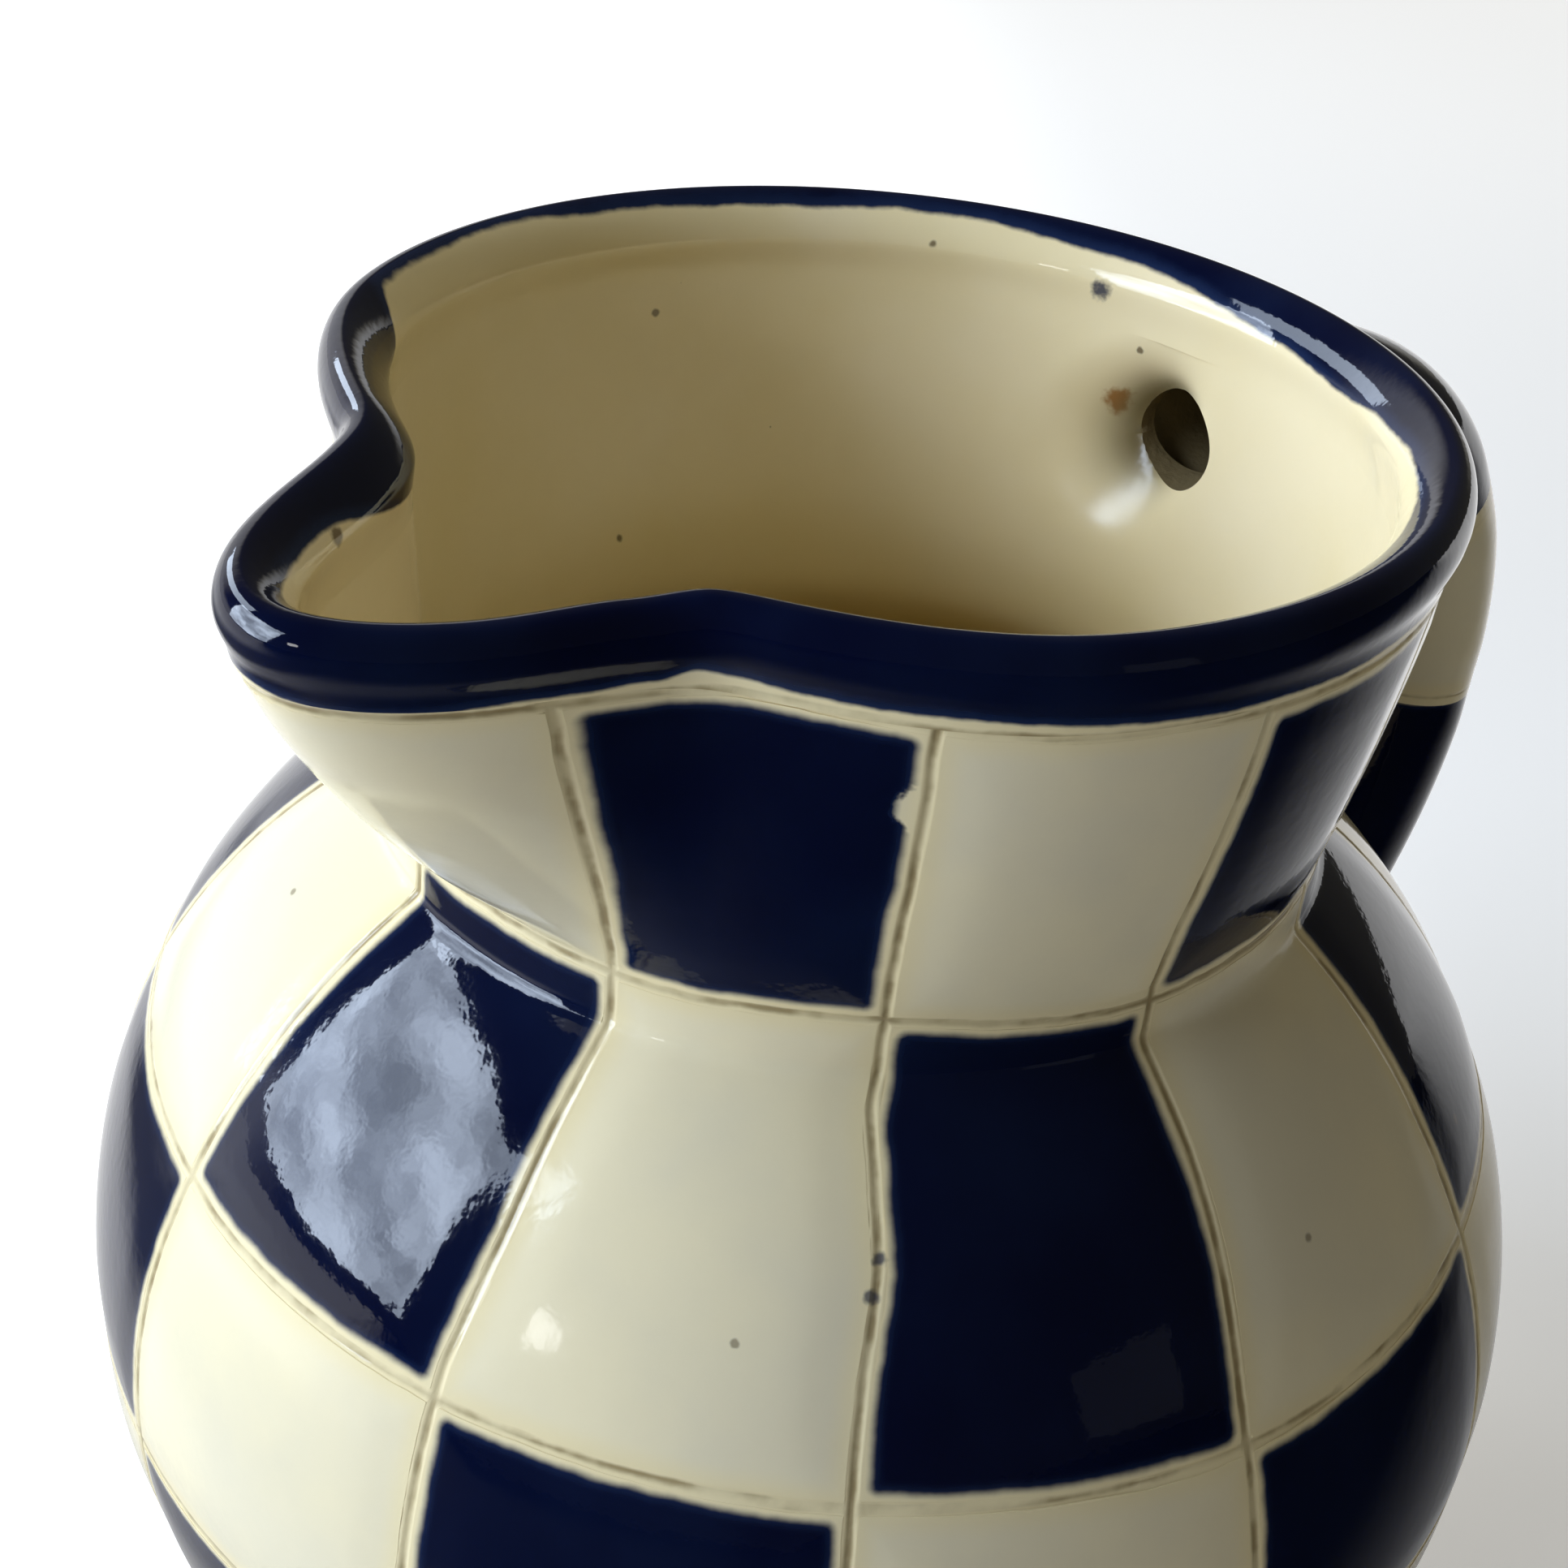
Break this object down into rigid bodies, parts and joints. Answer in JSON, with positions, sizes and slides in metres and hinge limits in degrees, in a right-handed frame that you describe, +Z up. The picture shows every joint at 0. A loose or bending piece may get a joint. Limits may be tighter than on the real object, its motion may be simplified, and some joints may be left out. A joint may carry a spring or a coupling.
{
  "type": "jug",
  "caption": "Glazed earthenware jug with a pinched spout, rolled blue rim, hollow loop handle and a cobalt and cream checkerboard divided by scored lines",
  "frame": {"origin": "centre of the foot's flat underside, on the jug's turning axis", "axes": "+Z up along the turning axis, -X towards the spout, +X towards the handle"},
  "size_m": [0.1907, 0.1654, 0.1644],
  "materials": {
    "cream_glaze": "glossy cream glaze",
    "cobalt_glaze": "glossy dark cobalt glaze",
    "clay": "bare buff earthenware"
  },
  "bodies": {
    "root": {"foot": "clay", "belly": "cream_glaze", "neck": "cream_glaze", "rim": "cobalt_glaze", "handle": "cream_glaze", "handle_band_top": "cobalt_glaze", "handle_band_middle": "cream_glaze", "handle_band_bottom": "cobalt_glaze", "foot_band": "cobalt_glaze", "low_belly_cobalt_01": "cobalt_glaze", "low_belly_cream_02": "cream_glaze", "low_belly_cobalt_03": "cobalt_glaze", "low_belly_cream_04": "cream_glaze", "low_belly_cobalt_05": "cobalt_glaze", "low_belly_cream_06": "cream_glaze", "low_belly_cobalt_07": "cobalt_glaze", "low_belly_cream_08": "cream_glaze", "low_belly_cobalt_09": "cobalt_glaze", "low_belly_cream_10": "cream_glaze", "low_belly_cobalt_11": "cobalt_glaze", "low_belly_cream_12": "cream_glaze", "mid_belly_cream_01": "cream_glaze", "mid_belly_cobalt_02": "cobalt_glaze", "mid_belly_cream_03": "cream_glaze", "mid_belly_cobalt_04": "cobalt_glaze", "mid_belly_cream_05": "cream_glaze", "mid_belly_cobalt_06": "cobalt_glaze", "mid_belly_cream_07": "cream_glaze", "mid_belly_cobalt_08": "cobalt_glaze", "mid_belly_cream_09": "cream_glaze", "mid_belly_cobalt_10": "cobalt_glaze", "mid_belly_cream_11": "cream_glaze", "mid_belly_cobalt_12": "cobalt_glaze", "upper_belly_cobalt_01": "cobalt_glaze", "upper_belly_cream_02": "cream_glaze", "upper_belly_cobalt_03": "cobalt_glaze", "upper_belly_cream_04": "cream_glaze", "upper_belly_cobalt_05": "cobalt_glaze", "upper_belly_cream_06": "cream_glaze", "upper_belly_cobalt_07": "cobalt_glaze", "upper_belly_cream_08": "cream_glaze", "upper_belly_cobalt_09": "cobalt_glaze", "upper_belly_cream_10": "cream_glaze", "upper_belly_cobalt_11": "cobalt_glaze", "upper_belly_cream_12": "cream_glaze", "neck_cream_01": "cream_glaze", "neck_cobalt_02": "cobalt_glaze", "neck_cream_03": "cream_glaze", "neck_cobalt_04": "cobalt_glaze", "neck_cream_05": "cream_glaze", "neck_cobalt_06": "cobalt_glaze", "neck_cream_07": "cream_glaze", "neck_cobalt_08": "cobalt_glaze", "neck_cream_09": "cream_glaze", "neck_cobalt_10": "cobalt_glaze", "neck_cream_11": "cream_glaze", "neck_cobalt_12": "cobalt_glaze"}
  },
  "joints": []
}
